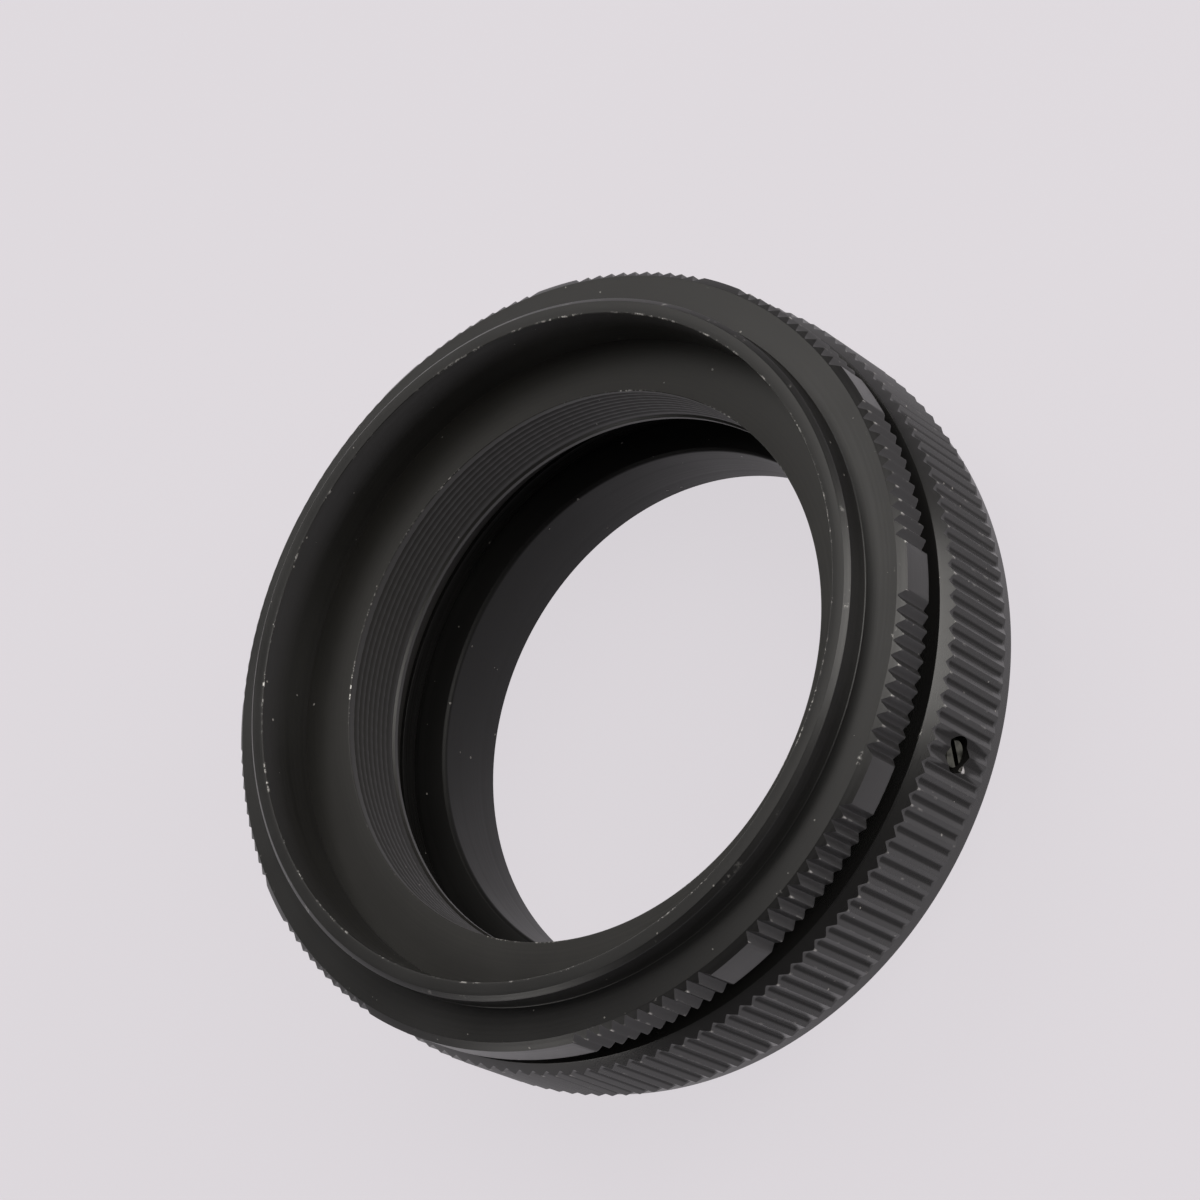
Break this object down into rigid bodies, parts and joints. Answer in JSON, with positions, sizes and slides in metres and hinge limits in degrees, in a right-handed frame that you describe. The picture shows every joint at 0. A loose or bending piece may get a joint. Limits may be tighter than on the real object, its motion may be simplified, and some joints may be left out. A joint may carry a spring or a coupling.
{
  "type": "macro extension tube",
  "caption": "Short round lens extension tube: gripped front ring with an inner thread, turning in a knurled ring locked by grub screws, with a rear bayonet barrel.",
  "frame": {"origin": "centre of the rear end face, on which the tube stands", "axes": "+Z along the optical axis towards the front (lens) side; the grub screw that the picture shows lies 76.5 degrees from +X towards -Y"},
  "size_m": [0.059, 0.059, 0.0228],
  "materials": {
    "black_anodised": "satin black anodised, worn bright at the edges",
    "dark_satin_metal": "dark satin",
    "nickel_screw": "nickelled, slightly worn"
  },
  "bodies": {
    "rear_body": {"knurled_ring": "black_anodised", "bayonet_mount": "dark_satin_metal", "mount_screw_1": "nickel_screw", "mount_screw_2": "nickel_screw", "mount_screw_3": "nickel_screw", "mount_screw_4": "nickel_screw"},
    "front_body": {"front_ring": "black_anodised"},
    "grub_1": {"grub_screw_1": "nickel_screw"},
    "grub_2": {"grub_screw_2": "nickel_screw"},
    "grub_3": {"grub_screw_3": "nickel_screw"}
  },
  "joints": [
    {"name": "front_ring_turn", "type": "hinge", "parent": "rear_body", "child": "front_body", "pos_m": [0, 0, 0.01635], "axis": [0, 0, 1], "continuous": true},
    {"name": "grub_screw_1_travel", "type": "slide", "parent": "rear_body", "child": "grub_1", "axis": [0.2334, -0.9724, 0], "range_m": [0, 0.0008]},
    {"name": "grub_screw_2_travel", "type": "slide", "parent": "rear_body", "child": "grub_2", "axis": [0.7254, 0.6884, 0], "range_m": [0, 0.0008]},
    {"name": "grub_screw_3_travel", "type": "slide", "parent": "rear_body", "child": "grub_3", "axis": [-0.9588, 0.284, 0], "range_m": [0, 0.0008]}
  ]
}
